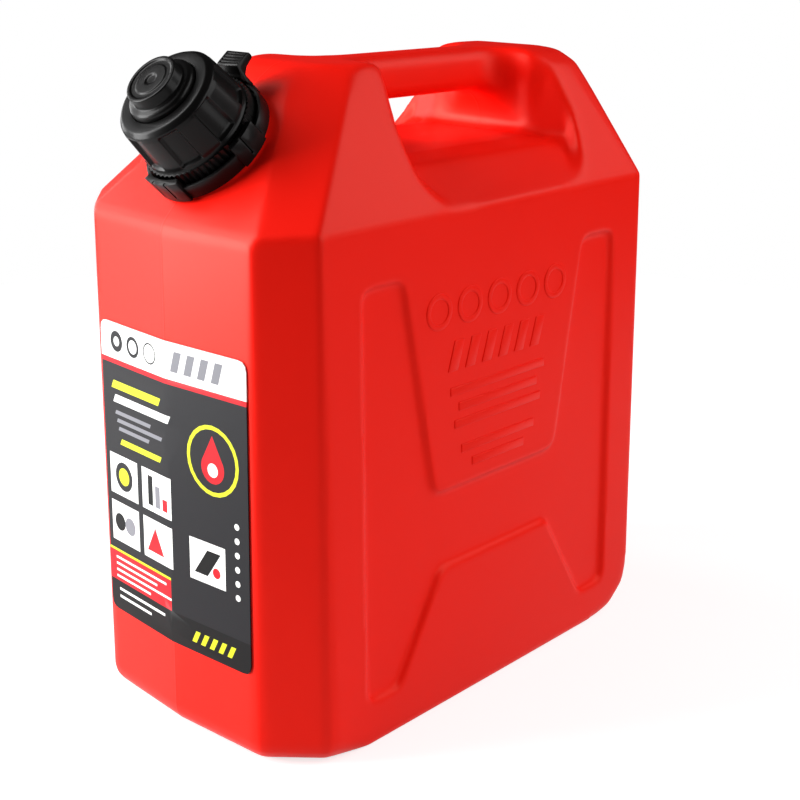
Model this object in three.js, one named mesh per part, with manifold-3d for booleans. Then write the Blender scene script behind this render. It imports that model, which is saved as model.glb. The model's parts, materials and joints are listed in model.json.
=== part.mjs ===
// A ten litre fuel tank: a hollow blow-moulded body with a hand grip through its top, a
// tilted neck with a child-resistant screw closure, and the pouring spout stored inside.
// Millimetres, +Z up. The origin is on the floor under the middle of the body, the neck
// leans towards -Y and the long side faces +X.
import * as THREE from 'three';
import { mergeVertices } from 'three/addons/utils/BufferGeometryUtils.js';
import { ConvexGeometry } from 'three/addons/geometries/ConvexGeometry.js';
import Module from 'manifold-3d';

const wasm = await Module();
wasm.setup();

// Body outline, measured at the belt, where the upright walls end
const beltHalfWidth = 79.2;
const beltHalfDepth = 136.9;
const cornerSetIn = 22.4;
const cornerSetBack = 19.8;
const rearCornerSetBack = 17.3;
const frontHalfWidth = beltHalfWidth - cornerSetIn;
const sideHalfLength = beltHalfDepth - cornerSetBack;
const sideRearY = beltHalfDepth - rearCornerSetBack;
const frontCrease = 3.7;
const wallDraft = 3.2;
const beltHeight = 252.5;
const foldDrop = 2.5;
const foldHeight = beltHeight - foldDrop;
const crownRise = 66;
const topHeight = beltHeight + crownRise;
const wall = 2.8;

// Slopes above the belt, each measured from the level
const shoulderSlopeDeg = 46;
const roofSlopeDeg = 58;
const frontCornerSlopeDeg = 41.8;
const rearCornerSlopeDeg = 64;
const rearSlopeDeg = 80;

// Rounding of the body: wide rounds along the belt, the feet and the crown, and narrow ones
// on the upright edges and the side's foot
const beltRadius = 9;
const edgeRadius = 4;
const frontFootRadius = 11;
const rearFootRadius = 24;
const sideFootRadius = 1.5;
const crownRadius = 24;
const crownMiddleRadius = 30;
const rearCrownRadius = 30;
const sideFootFrontSetBack = 25.1;
const sideFootFrontY = sideFootFrontSetBack - sideHalfLength;

// Hand grip through the top: depths below the top, and ends set back from the belt's ends
const gripDepth = 45;
const bendDepth = 47.5;
const mouthDepth = 68;
const gripFrontSetBack = 99.9;
const bendFrontSetBack = 92.9;
const gripRearSetBack = 58.9;
const bendRearSetBack = 52.9;
const bendRearTopSetBack = 42.9;
const mouthRearSetBack = 66.9;
const mouthRearTopSetBack = 54.6;
const gripFloor = topHeight - gripDepth;
const bendFloor = topHeight - bendDepth;
const mouthFloor = topHeight - mouthDepth;
const gripFrontY = gripFrontSetBack - beltHalfDepth;
const bendFrontY = bendFrontSetBack - beltHalfDepth;
const gripRearY = beltHalfDepth - gripRearSetBack;
const bendRearY = beltHalfDepth - bendRearSetBack;
const bendRearTopY = beltHalfDepth - bendRearTopSetBack;
const mouthRearY = beltHalfDepth - mouthRearSetBack;
const mouthRearTopY = beltHalfDepth - mouthRearTopSetBack;
const gripLandHalfWidth = 36;
const gripRadius = 5;
const bendHalfWidth = 55;
const mouthSpread = 7.6;
const mouthHalfWidth = beltHalfWidth + mouthSpread;
const mouthFrontRadius = 15;
const mouthRearRadius = 10;
const barHalfWidth = 13.5;
const barHeight = 23;
const barRadius = 9;
const barFlare = 17;

// Sunk panel on each side
const panelEndGap = 22.1;
const panelHalfLength = sideHalfLength - panelEndGap;
const panelMiddleY = 1.5;
const panelFoot = 21.5;
const panelTopDrop = 26.5;
const panelTop = beltHeight - panelTopDrop;
const panelDepth = 2.6;
const panelSlopeWidth = 2.3;
const panelRadius = 8;
const upperNotchTopInset = 28;
const upperNotchFootInset = 49;
const upperNotchFoot = 116;
const lowerNotchFootInset = 23;
const lowerNotchTopInset = 54;
const lowerNotchTop = 74;
const upperNotchHalfTop = panelHalfLength - upperNotchTopInset;
const upperNotchHalfFoot = panelHalfLength - upperNotchFootInset;
const lowerNotchHalfFoot = panelHalfLength - lowerNotchFootInset;
const lowerNotchHalfTop = panelHalfLength - lowerNotchTopInset;

// Neck and its closure, along the neck's own axis from the lock ring's foot
const neckUpSlope = 45.7;
const neckStandOff = 1.32;
const neckTiltDeg = 46.3;
const neckRadius = 20.5;
const neckBore = 17.5;
const neckRim = 22.2;
const neckSeatRadius = 29.5;
const neckRootDepth = 16;
const seatGap = 0.3;

// Lock ring and latch
const ringRadius = 31.4;
const ringWall = 1.6;
const ringPlate = 2.4;
const ringWallHeight = 7.5;
const ringHighWallHeight = 12.3;
const blockStandOut = 1.4;
const blockGroove = 1;
const blockGrooveDepth = 1.2;
const earHalfGap = 7.5;
const earWidth = 2.1;
const earReach = 1.3;
const earRise = 2;
const pivotRadius = 29.6;
const pivotHeight = 2.9;
const pinRadius = 0.7;
const pinGap = 0.1;
const slotGap = 0.4;
const ringShelf = 1.1;
const wallSlitDeg = 2.5;
const sideBlockFromDeg = 74;
const sideGrooveDeg = 85;
const sideBlockToDeg = 102;
const frontBlockDeg = 20;
const frontGrooveDeg = 7;
const leverHalfWidth = 7.2;
const leverHoleGap = 0.15;
const leverBoss = 1.3;
const leverFace = 0.8;
const leverPlate = 1.8;
const leverToothFoot = 8;
const leverToothTop = 11.5;
const leverToothReach = 1.1;
const leverTop = 16.9;
const leverLean = 1.6;
const leverPadRadius = 41;
const leverPadTop = 16;
const leverPadFoot = 12.6;
const leverPadRoot = 10.4;
const leverPadLength = 5.6;
const leverPadDroop = 0.4;
const leverRound = 1.2;
const gripGrooves = 4;
const grooveWidth = 0.8;
const coilRadius = 1.1;
const coilWire = 0.2;
const coilTurns = 3;
const coilHalfRoom = 2.4;
const coilRoomGap = 0.4;
const coilArm = 1.6;

// Screw collar
const toothTipRadius = 28.9;
const toothDepth = 1.3;
const toothLeanShare = 0.75;
const toothCount = 60;
const toothFoot = 4.4;
const toothTop = 12.9;
const gripFootRadius = 27.2;
const gripTopRadius = 25.4;
const gripFootHeight = 14;
const gripTopHeight = 33.6;
const collarTop = 36.5;
const collarTopRadius = 23.3;
const collarHole = 17.3;
const collarLip = 3.7;
const collarBore = 22.4;
const pocketCount = 8;
const pocketDepth = 1.5;
const pocketWidthDeg = 22;
const pocketTurnDeg = 17.5;
const pocketEdge = 0.6;

// Stopper and gaskets
const stopperFlange = 3;
const stopperWall = 2.2;
const stopperSkirt = 6;
const tierRadius = 17;
const tierTop = 39.6;
const discRadius = 12.9;
const stopperTop = 45.7;
const recessRadius = 8.2;
const recessDepth = 0.9;
const gasketThickness = 1.8;
const flangeRadius = 21.6;
const spoutFlange = 2.5;

// Pouring spout
const socketRadius = 17;
const socketWall = 2.2;
const socketFoot = -8;
const socketMouthRadius = 14.8;
const socketMouthFoot = -28;
const sealHeight = -20;
const sealGroove = 2.2;
const tubeRadius = 11;
const tubeWall = 1.8;
const tubeStart = -13;
const tubeStraight = 52;
const tubeBendRadius = 70;
const tubeTip = 64;
const ventRadius = 1.7;
const ventBoreShare = 0.6;
const ventOffset = 4.5;
const ventSetBack = 6;
const ventClip = 1;
const sealWire = 0.8;
const insertDepth = 12;
const insertCollar = 2.6;
const insertBore = 6.8;
const insertGap = 0.3;
const hubRadius = 2.4;
const spokeHalf = 0.9;
const stemRadius = 1.1;
const stemGap = 0.15;
const stemHead = 2;
const stemHeadHeight = 1.2;
const stemLength = 20;
const discThickness = 3;
const valveRadius = 9.6;
const valveSealWire = 0.9;
const sleeveRadius = 13.6;
const sleeveBack = 28;
const sleeveSeatBore = 7.4;
const sleeveSeat = 2.2;
const hookReach = 5;
const hookHeight = 9;
const hookHalfWidth = 3.5;
const springLength = 17;
const springWire = 0.7;
const springTurns = 4;
const shoulderThickness = 2;

// Label on the front face
const labelSideGap = 3.3;
const labelHalfWidth = frontHalfWidth - labelSideGap;
const labelFoot = 46;
const labelTopDrop = 53;
const labelTop = foldHeight - labelTopDrop;
const labelThickness = 0.5;
const labelRadius = 5;
const labelGap = 0.3;

// Counts of facets, and one overrun for every cut
const arcSteps = 6;
const weldGap = 0.0005;
const roundSteps = 26;
const wideSteps = 60;
const smallSteps = 16;
const wireSides = 5;
const wireSteps = 12;
const ballSteps = 4;
const arcBalls = 3;
const coarseSteps = 3;
const spokeCount = 3;
const overrun = 40;

const fullTurnDeg = 360;

const rad = THREE.MathUtils.degToRad;

// Solids from closed meshes, and back
function solid(geometry) {
  const bare = geometry.index ? geometry.toNonIndexed() : geometry.clone();
  bare.deleteAttribute('normal');
  bare.deleteAttribute('uv');
  const merged = mergeVertices(bare, weldGap);
  const mesh = new wasm.Mesh({
    numProp: 3,
    vertProperties: new Float32Array(merged.attributes.position.array),
    triVerts: new Uint32Array(merged.index.array),
  });
  mesh.merge();
  return new wasm.Manifold(mesh);
}

function toGeometry(manifold) {
  const mesh = manifold.getMesh();
  const geometry = new THREE.BufferGeometry();
  geometry.setAttribute('position', new THREE.BufferAttribute(mesh.vertProperties, 3));
  geometry.setIndex(new THREE.BufferAttribute(mesh.triVerts, 1));
  return geometry;
}

// A turned piece from [radius, height] pairs, with its axis along Z
function turned(profile, steps = roundSteps) {
  const points = profile.map(([radius, height]) => new THREE.Vector2(radius, height));
  if (THREE.ShapeUtils.area(points) < 0) points.reverse();
  if (points[0].x > 0) points.push(points[0].clone());
  const geometry = new THREE.LatheGeometry(points, steps);
  geometry.rotateX(Math.PI / 2);
  return solid(geometry);
}

// A plate from a list of [x, y] corners, standing from z = 0 upwards
function plate(corners, height) {
  const shape = new THREE.Shape(corners.map(([x, y]) => new THREE.Vector2(x, y)));
  return new THREE.ExtrudeGeometry(shape, { depth: height, bevelEnabled: false });
}

function box(lowX, lowY, lowZ, highX, highY, highZ) {
  const geometry = new THREE.BoxGeometry(highX - lowX, highY - lowY, highZ - lowZ);
  geometry.translate((lowX + highX) / 2, (lowY + highY) / 2, (lowZ + highZ) / 2);
  return solid(geometry);
}

// A closed outline with each corner rounded by its own radius, as [x, y, radius]
function roundedShape(corners) {
  const shape = new THREE.Shape();
  corners.forEach(([x, y, radius], index) => {
    const here = new THREE.Vector2(x, y);
    const [px, py] = corners[(index + corners.length - 1) % corners.length];
    const [nx, ny] = corners[(index + 1) % corners.length];
    const back = new THREE.Vector2(px, py).sub(here);
    const ahead = new THREE.Vector2(nx, ny).sub(here);
    const half = Math.abs(back.angleTo(ahead)) / 2;
    const reach = Math.min(radius / Math.tan(half), back.length() / 2, ahead.length() / 2);
    const start = here.clone().add(back.setLength(reach));
    const end = here.clone().add(ahead.setLength(reach));
    if (index === 0) shape.moveTo(start.x, start.y);
    else shape.lineTo(start.x, start.y);
    shape.quadraticCurveTo(here.x, here.y, end.x, end.y);
  });
  shape.closePath();
  return shape;
}

// Faces of the body, as planes whose normals point outwards
function facePlane(a, b, c) {
  const plane = new THREE.Plane().setFromCoplanarPoints(a, b, c);
  const middle = new THREE.Vector3(0, 0, beltHeight / 2);
  return plane.distanceToPoint(middle) > 0 ? plane.negate() : plane;
}

const at = (x, y, z) => new THREE.Vector3(x, y, z);

// A slope that starts from an edge and climbs inwards at an angle from the level
function slopePlane(edgeStart, edgeEnd, slopeDeg) {
  const along = edgeEnd.clone().sub(edgeStart);
  const inwards = at(-along.y, along.x, 0).normalize();
  if (inwards.dot(edgeStart) > 0) inwards.negate();
  const climb = inwards.multiplyScalar(Math.cos(rad(slopeDeg)));
  climb.z = Math.sin(rad(slopeDeg));
  return facePlane(edgeStart, edgeEnd, edgeStart.clone().addScaledVector(climb, topHeight));
}

const seamPoint = at(0, -beltHalfDepth - frontCrease, foldHeight);
const frontCorner = at(frontHalfWidth, -beltHalfDepth, foldHeight);
const frontCornerFoot = at(frontHalfWidth, -beltHalfDepth - wallDraft, 0);
const sideFront = at(beltHalfWidth, -sideHalfLength, beltHeight);
const sideFrontFoot = at(beltHalfWidth + wallDraft, -sideHalfLength, 0);
const sideRear = at(beltHalfWidth, sideRearY, beltHeight);
const sideRearFoot = at(beltHalfWidth + wallDraft, sideRearY, 0);
const rearCorner = at(frontHalfWidth, beltHalfDepth, beltHeight);
const rearCornerFoot = at(frontHalfWidth, beltHalfDepth + wallDraft, 0);
const rearMiddle = at(0, beltHalfDepth, beltHeight);

const faces = {
  floor: facePlane(at(0, 0, 0), at(beltHalfWidth, 0, 0), at(0, beltHalfDepth, 0)),
  front: facePlane(seamPoint, frontCorner, frontCornerFoot),
  frontChamfer: facePlane(frontCorner, sideFront, sideFrontFoot),
  side: facePlane(sideFront, sideRear, sideFrontFoot),
  rearChamfer: facePlane(sideRear, rearCorner, sideRearFoot),
  rear: facePlane(rearCorner, rearMiddle, rearCornerFoot),
  shoulder: slopePlane(seamPoint, frontCorner, shoulderSlopeDeg),
  frontFacet: slopePlane(frontCorner, sideFront, frontCornerSlopeDeg),
  roof: slopePlane(sideFront, sideRear, roofSlopeDeg),
  rearFacet: slopePlane(sideRear, rearCorner, rearCornerSlopeDeg),
  rearUpper: slopePlane(rearCorner, rearMiddle, rearSlopeDeg),
  top: facePlane(at(0, 0, topHeight), at(beltHalfWidth, 0, topHeight), at(0, beltHalfDepth, topHeight)),
};
const seam = new THREE.Plane(at(1, 0, 0), 0);

// The point that lies inside three faces by an inset from each
function insidePoint(planes, insets) {
  const [a, b, c] = planes.map((plane) => plane.normal);
  const [da, db, dc] = planes.map((plane, index) => plane.constant + insets[index]);
  const bc = b.clone().cross(c);
  const ca = c.clone().cross(a);
  const ab = a.clone().cross(b);
  const volume = a.dot(b.clone().cross(c));
  return bc.multiplyScalar(-da).addScaledVector(ca, -db).addScaledVector(ab, -dc).divideScalar(volume);
}

// A ball that touches three faces, and one in the middle plane that touches two
const ball = (radius, ...names) => ({
  radius,
  planes: names.map((name) => faces[name]),
  insets: names.map(() => radius),
});
const seamBall = (radius, ...names) => ({
  radius,
  planes: [seam, ...names.map((name) => faces[name])],
  insets: [0, ...names.map(() => radius)],
});
const sideFootBall = {
  radius: sideFootRadius,
  planes: [faces.floor, faces.side, new THREE.Plane(at(0, -1, 0), sideFootFrontY)],
  insets: [sideFootRadius, sideFootRadius, 0],
};

// Small balls along a wide round between two faces, where a third face ends it in a narrow edge
function roundedEdge(radius, nameA, nameB, endName) {
  const planes = [nameA, nameB, endName].map((name) => faces[name]);
  const [a, b] = planes.map((plane) => plane.normal);
  const spread = radius - edgeRadius;
  const balls = [];
  for (let step = 0; step <= arcBalls; step += 1) {
    const outwards = a.clone().lerp(b, step / arcBalls).normalize();
    const insets = [radius - spread * outwards.dot(a), radius - spread * outwards.dot(b), edgeRadius];
    balls.push({ radius: edgeRadius, planes, insets });
  }
  return balls;
}

const rightBalls = [
  ball(frontFootRadius, 'floor', 'front', 'frontChamfer'),
  ball(frontFootRadius, 'floor', 'frontChamfer', 'side'),
  sideFootBall,
  ...roundedEdge(rearFootRadius, 'floor', 'rearChamfer', 'side'),
  ball(rearFootRadius, 'floor', 'rearChamfer', 'rear'),
  ...roundedEdge(beltRadius, 'front', 'shoulder', 'frontChamfer'),
  ball(edgeRadius, 'frontChamfer', 'side', 'roof'),
  ball(edgeRadius, 'side', 'rearChamfer', 'roof'),
  ball(edgeRadius, 'rearChamfer', 'rear', 'rearUpper'),
  ball(crownRadius, 'shoulder', 'frontFacet', 'top'),
  ...roundedEdge(crownRadius, 'frontFacet', 'top', 'roof'),
  ...roundedEdge(crownRadius, 'roof', 'top', 'frontFacet'),
  ball(rearCrownRadius, 'roof', 'rearFacet', 'top'),
  ball(rearCrownRadius, 'rearFacet', 'rearUpper', 'top'),
];
const middleBalls = [
  seamBall(frontFootRadius, 'floor', 'front'),
  seamBall(beltRadius, 'front', 'shoulder'),
  seamBall(crownMiddleRadius, 'shoulder', 'top'),
];

// The points of a ball's surface, on rings of latitude
function ballPoints(centre, radius, steps = ballSteps) {
  const points = [at(0, 0, radius).add(centre), at(0, 0, -radius).add(centre)];
  for (let ring = 1; ring < steps * 2; ring += 1) {
    const polar = (Math.PI * ring) / (steps * 2);
    for (let step = 0; step < steps * 4; step += 1) {
      const turn = (Math.PI * 2 * step) / (steps * 4);
      const spot = at(0, 0, 0).setFromSphericalCoords(radius, polar, turn);
      points.push(spot.applyAxisAngle(at(1, 0, 0), Math.PI / 2).add(centre));
    }
  }
  return points;
}

const mirrored = (vector) => at(-vector.x, vector.y, vector.z);

// The whole body as one rounded convex form, taken in by an inset all round
function bodyForm(inset, steps = ballSteps) {
  const points = [];
  for (const { radius, planes, insets } of [...rightBalls, ...middleBalls]) {
    const kept = insets.map((own, index) => (planes[index] === seam ? own : Math.max(own, inset)));
    const centre = insidePoint(planes, kept);
    const left = Math.max(radius - inset, 0);
    points.push(...ballPoints(centre, left, steps), ...ballPoints(mirrored(centre), left, steps));
  }
  return solid(new ConvexGeometry(points));
}

// One rounded block between sections, each a distance from the middle plane and its corners
function spannedBlock(sections, side, grow) {
  const points = [];
  for (const [x, corners] of sections) {
    for (const [y, z, radius] of corners) {
      points.push(...ballPoints(at(x * side, y, z), radius + grow, coarseSteps));
    }
  }
  return solid(new ConvexGeometry(points));
}

// The bar of the hand grip, a rounded section that flares into the body at both ends
function gripBar(inset) {
  const low = bendFrontY - overrun / 2;
  const high = bendRearTopY + overrun / 2;
  const quarter = arcSteps;
  const positions = [];
  const reach = barFlare + inset;
  const stations = [[low, reach]];
  for (const [wallY, outwards] of [[gripFrontY, 1], [gripRearY, -1]]) {
    const ramp = [];
    for (let step = 0; step <= arcSteps; step += 1) {
      const turn = (Math.PI * step) / arcSteps / 2;
      const along = outwards * (reach * (1 - Math.cos(turn)) - inset);
      ramp.push([wallY + along, reach * (1 - Math.sin(turn))]);
    }
    if (outwards < 0) ramp.reverse();
    stations.push(...ramp);
  }
  stations.push([high, reach]);
  for (const [y, flare] of stations.reverse()) {
    const halfWidth = barHalfWidth + flare - inset;
    const foot = topHeight - barHeight - flare + inset;
    const radius = barRadius - inset;
    const top = topHeight + (inset > 0 ? -inset : seatGap);
    for (const [cx, cz, start] of [
      [halfWidth - radius, top - radius, 0],
      [-halfWidth + radius, top - radius, 1],
      [-halfWidth + radius, foot + radius, 2],
      [halfWidth - radius, foot + radius, 3],
    ]) {
      for (let step = 0; step <= quarter; step += 1) {
        const turn = ((start + step / quarter) * Math.PI) / 2;
        positions.push(cx + radius * Math.cos(turn), y, cz + radius * Math.sin(turn));
      }
    }
  }
  return solid(skin(positions, 4 * (quarter + 1), stations.length));
}

// A closed skin over rings of points, each ring closed by a fan at the two ends
function skin(positions, ringSize, ringCount) {
  const index = [];
  for (let ring = 0; ring + 1 < ringCount; ring += 1) {
    for (let step = 0; step < ringSize; step += 1) {
      const a = ring * ringSize + step;
      const b = ring * ringSize + ((step + 1) % ringSize);
      index.push(a, b, a + ringSize, b, b + ringSize, a + ringSize);
    }
  }
  for (let step = 1; step + 1 < ringSize; step += 1) {
    index.push(0, step + 1, step);
    const last = (ringCount - 1) * ringSize;
    index.push(last, last + step, last + step + 1);
  }
  const geometry = new THREE.BufferGeometry();
  geometry.setAttribute('position', new THREE.BufferAttribute(new Float32Array(positions), 3));
  geometry.setIndex(index);
  return geometry;
}

// The space of the hand grip, grown by a wall when it is kept out of the hollow
function gripSpace(grow) {
  const above = topHeight + overrun;
  const section = (frontY, rearY, rearTopY, floor, frontRadius, rearRadius) => [
    [frontY + frontRadius, floor + frontRadius, frontRadius],
    [rearY - rearRadius, floor + rearRadius, rearRadius],
    [rearTopY - frontRadius, above, frontRadius],
    [frontY + frontRadius, above, frontRadius],
  ];
  const land = section(gripFrontY, gripRearY, gripRearY, gripFloor, gripRadius, gripRadius);
  const bend = section(bendFrontY, bendRearY, bendRearTopY, bendFloor, gripRadius, gripRadius);
  const mouth = section(bendFrontY, mouthRearY, mouthRearTopY, mouthFloor, mouthFrontRadius, mouthRearRadius);
  const landAt = [gripLandHalfWidth, land];
  const bendAt = [bendHalfWidth, bend];
  const mouthAt = [mouthHalfWidth, mouth];
  let space = spannedBlock([landAt, [-gripLandHalfWidth, land]], 1, grow);
  for (const side of [1, -1]) {
    space = space.add(spannedBlock([landAt, bendAt], side, grow));
    space = space.add(spannedBlock([bendAt, mouthAt], side, grow));
  }
  return space.subtract(gripBar(grow));
}

// The sunk side panel, a bevelled plate whose bevel runs on through the sloping side wall
function sidePanel(grow) {
  const y = (half) => panelMiddleY + half;
  const corners = [
    [y(-panelHalfLength), panelFoot],
    [y(-lowerNotchHalfFoot), panelFoot],
    [y(-lowerNotchHalfTop), lowerNotchTop],
    [y(lowerNotchHalfTop), lowerNotchTop],
    [y(lowerNotchHalfFoot), panelFoot],
    [y(panelHalfLength), panelFoot],
    [y(panelHalfLength), panelTop],
    [y(upperNotchHalfTop), panelTop],
    [y(upperNotchHalfFoot), upperNotchFoot],
    [y(-upperNotchHalfFoot), upperNotchFoot],
    [y(-upperNotchHalfTop), panelTop],
    [y(-panelHalfLength), panelTop],
  ].map(([along, up]) => [along, up, panelRadius]);
  const depth = panelDepth + grow;
  const geometry = new THREE.ExtrudeGeometry(roundedShape(corners), {
    depth: overrun,
    bevelEnabled: true,
    bevelThickness: depth * 2,
    bevelSize: panelSlopeWidth * 2,
    bevelOffset: grow - panelSlopeWidth,
    bevelSegments: 1,
    curveSegments: arcSteps / 2,
  });
  const lean = Math.atan2(wallDraft, beltHeight);
  const upWall = at(-Math.sin(lean), 0, Math.cos(lean));
  const outWall = at(Math.cos(lean), 0, Math.sin(lean));
  const place = new THREE.Matrix4().makeBasis(at(0, 1, 0), upWall, outWall);
  place.setPosition(outWall.multiplyScalar(depth).add(at(beltHalfWidth + wallDraft, 0, 0)));
  geometry.applyMatrix4(place);
  return solid(geometry);
}

const flipX = (manifold) => manifold.mirror([1, 0, 0]);

// The neck frame: +Z runs out of the neck, +Y points to the rear
const slopeRun = Math.cos(rad(shoulderSlopeDeg));
const slopeRise = Math.sin(rad(shoulderSlopeDeg));
const neckY = seamPoint.y + neckUpSlope * slopeRun - neckStandOff * slopeRise;
const neckHeight = seamPoint.z + neckUpSlope * slopeRise + neckStandOff * slopeRun;
const neckPlace = new THREE.Matrix4().makeRotationX(rad(neckTiltDeg));
neckPlace.setPosition(0, neckY, neckHeight);
const inBody = (manifold) => manifold.transform(neckPlace.elements);

function tankBody() {
  const neck = turned([
    [0, -neckRootDepth],
    [neckSeatRadius, -neckRootDepth],
    [neckSeatRadius, -seatGap],
    [neckRadius, -seatGap],
    [neckRadius, neckRim],
    [0, neckRim],
  ]);
  const bore = turned([
    [0, -neckRootDepth - overrun],
    [neckBore, -neckRootDepth - overrun],
    [neckBore, neckRim + overrun],
    [0, neckRim + overrun],
  ]);
  const panel = sidePanel(0);
  const innerPanel = sidePanel(wall);
  const outer = bodyForm(0).subtract(gripSpace(0)).subtract(panel).subtract(flipX(panel));
  const hollow = bodyForm(wall, coarseSteps)
    .subtract(gripSpace(wall))
    .subtract(innerPanel)
    .subtract(flipX(innerPanel));
  const neckRoom = bodyForm(0).add(inBody(neckAbove()));
  return outer.add(inBody(neck).intersect(neckRoom)).subtract(hollow).subtract(inBody(bore));
}

// The part of the neck that stands clear of the shoulder
function neckAbove() {
  return turned([
    [0, -beltRadius],
    [neckSeatRadius, -beltRadius],
    [neckSeatRadius, neckRim + overrun],
    [0, neckRim + overrun],
  ]);
}

// The label follows the two slightly turned halves of the front face
function frontLabel() {
  const drawn = roundedShape([
    [-labelHalfWidth, labelFoot, labelRadius],
    [labelHalfWidth, labelFoot, labelRadius],
    [labelHalfWidth, labelTop, labelRadius],
    [-labelHalfWidth, labelTop, labelRadius],
  ]);
  const depth = beltHalfDepth + frontCrease + wallDraft + overrun;
  const column = new THREE.ExtrudeGeometry(drawn, { depth, bevelEnabled: false, curveSegments: coarseSteps });
  column.rotateX(Math.PI / 2);
  const over = (gap) => {
    const seamFoot = at(0, seamPoint.y - wallDraft, 0);
    const points = [seamPoint, seamFoot].map((point) => at(0, point.y - gap, point.z));
    for (const point of [frontCorner, frontCornerFoot]) {
      points.push(at(point.x, point.y - gap, point.z), at(-point.x, point.y - gap, point.z));
      points.push(at(point.x, point.y + overrun, point.z), at(-point.x, point.y + overrun, point.z));
    }
    return solid(new ConvexGeometry(points));
  };
  return solid(column).intersect(over(labelGap + labelThickness).subtract(over(labelGap)));
}

// A wedge of the neck frame between two angles, counted from the front towards +X
function wedge(fromDeg, toDeg, reach, foot, top) {
  const corners = [[0, 0]];
  for (let step = 0; step <= arcSteps; step += 1) {
    const turn = rad(fromDeg + ((toDeg - fromDeg) * step) / arcSteps);
    corners.push([reach * Math.sin(turn), -reach * Math.cos(turn)]);
  }
  return solid(plate(corners, top - foot)).translate([0, 0, foot]);
}

function ring(inner, outer, foot, top, steps = roundSteps) {
  return turned([[inner, foot], [outer, foot], [outer, top], [inner, top]], steps);
}

// A groove down the outside of a block, at an angle counted like a wedge's
function blockNotch(atDeg) {
  const outer = ringRadius + blockStandOut;
  const half = blockGroove / 2;
  return box(-half, -outer - overrun, ringPlate, half, blockGrooveDepth - outer, ringHighWallHeight + overrun)
    .rotate([0, 0, atDeg]);
}

function lockRing() {
  const base = ring(neckRadius + seatGap, ringRadius, 0, ringPlate, wideSteps);
  const inner = ringRadius - ringWall;
  const lowWall = ring(inner, ringRadius, 0, ringWallHeight, wideSteps);
  const blocks = ring(inner, ringRadius + blockStandOut, 0, ringHighWallHeight, wideSteps);
  const reach = ringRadius + overrun;
  const pick = (from, to) => wedge(from, to, reach, 0, ringHighWallHeight);
  const slit = wedge(sideBlockToDeg, sideBlockToDeg + wallSlitDeg, reach, ringPlate, ringHighWallHeight);
  const sides = pick(sideBlockFromDeg, sideBlockToDeg).add(pick(-sideBlockToDeg, -sideBlockFromDeg));
  const front = pick(-frontBlockDeg, frontBlockDeg);
  const cheek = box(
    earHalfGap, pivotRadius - earReach, 0,
    earHalfGap + earWidth, pivotRadius + earReach, pivotHeight + earRise,
  );
  const hole = pinRadius + pinGap;
  const pinHole = turned([[0, -overrun], [hole, -overrun], [hole, overrun], [0, overrun]], smallSteps)
    .rotate([0, 90, 0])
    .translate([0, pivotRadius, pivotHeight]);
  const slotFront = pivotRadius - leverBoss - slotGap;
  const slot = box(-earHalfGap, slotFront, ringShelf, earHalfGap, reach, ringHighWallHeight + overrun);
  let made = base
    .add(lowWall.subtract(slit).subtract(flipX(slit)))
    .add(blocks.intersect(sides.add(front)))
    .add(cheek)
    .add(flipX(cheek))
    .subtract(slot)
    .subtract(pinHole);
  for (const atDeg of [-sideGrooveDeg, -frontGrooveDeg, frontGrooveDeg, sideGrooveDeg]) {
    made = made.subtract(blockNotch(atDeg));
  }
  return made;
}

// A round bar along the pivot of the lever
function acrossPivot(radius, half) {
  return turned([[0, -half], [radius, -half], [radius, half], [0, half]], smallSteps)
    .rotate([0, 90, 0])
    .translate([0, pivotRadius, pivotHeight]);
}

// The lever: a plate with one tooth, a thumb pad that hangs back, and two pivot bosses
function latchLever() {
  const faceY = pivotRadius + leverFace;
  const backY = faceY + leverPlate;
  const padFrontY = faceY + leverLean;
  const corners = [
    [faceY, pivotHeight - leverFace, 0],
    [faceY, leverToothFoot, 0],
    [faceY - leverToothReach, leverToothFoot + leverToothReach, 0],
    [faceY - leverToothReach, leverToothTop, 0],
    [faceY, leverToothTop + leverToothReach, leverRound],
    [padFrontY, leverTop, leverRound],
    [leverPadRadius, leverPadTop, leverRound],
    [leverPadRadius, leverPadFoot, leverRound],
    [leverPadRadius - leverPadLength, leverPadFoot - leverPadDroop, leverRound / 2],
    [backY, leverPadRoot, leverRound],
    [backY, pivotHeight + leverBoss, 0],
  ];
  const side = new THREE.ExtrudeGeometry(roundedShape(corners), {
    depth: leverHalfWidth * 2,
    bevelEnabled: false,
    curveSegments: arcSteps / 2,
  });
  const place = new THREE.Matrix4().makeBasis(at(0, 1, 0), at(0, 0, 1), at(1, 0, 0));
  place.setPosition(-leverHalfWidth, 0, 0);
  side.applyMatrix4(place);
  const coilRoom = box(
    -coilHalfRoom, pivotRadius - overrun, pivotHeight - overrun,
    coilHalfRoom, pivotRadius + overrun, pivotHeight + coilRadius + coilWire + coilRoomGap,
  );
  let lever = solid(side)
    .add(acrossPivot(leverBoss, leverHalfWidth))
    .subtract(coilRoom)
    .subtract(acrossPivot(pinRadius + leverHoleGap, overrun));
  const grooveHalf = leverHalfWidth - grooveWidth;
  for (let step = 1; step <= gripGrooves; step += 1) {
    const share = step / (gripGrooves + 1);
    const y = padFrontY + (leverPadRadius - padFrontY) * share;
    const z = leverTop + (leverPadTop - leverTop) * share - grooveWidth / 2;
    const low = y - grooveWidth / 2;
    lever = lever.subtract(box(-grooveHalf, low, z, grooveHalf, low + grooveWidth, z + overrun));
  }
  return lever;
}

function latchPin() {
  return acrossPivot(pinRadius, earHalfGap + earWidth);
}

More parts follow.
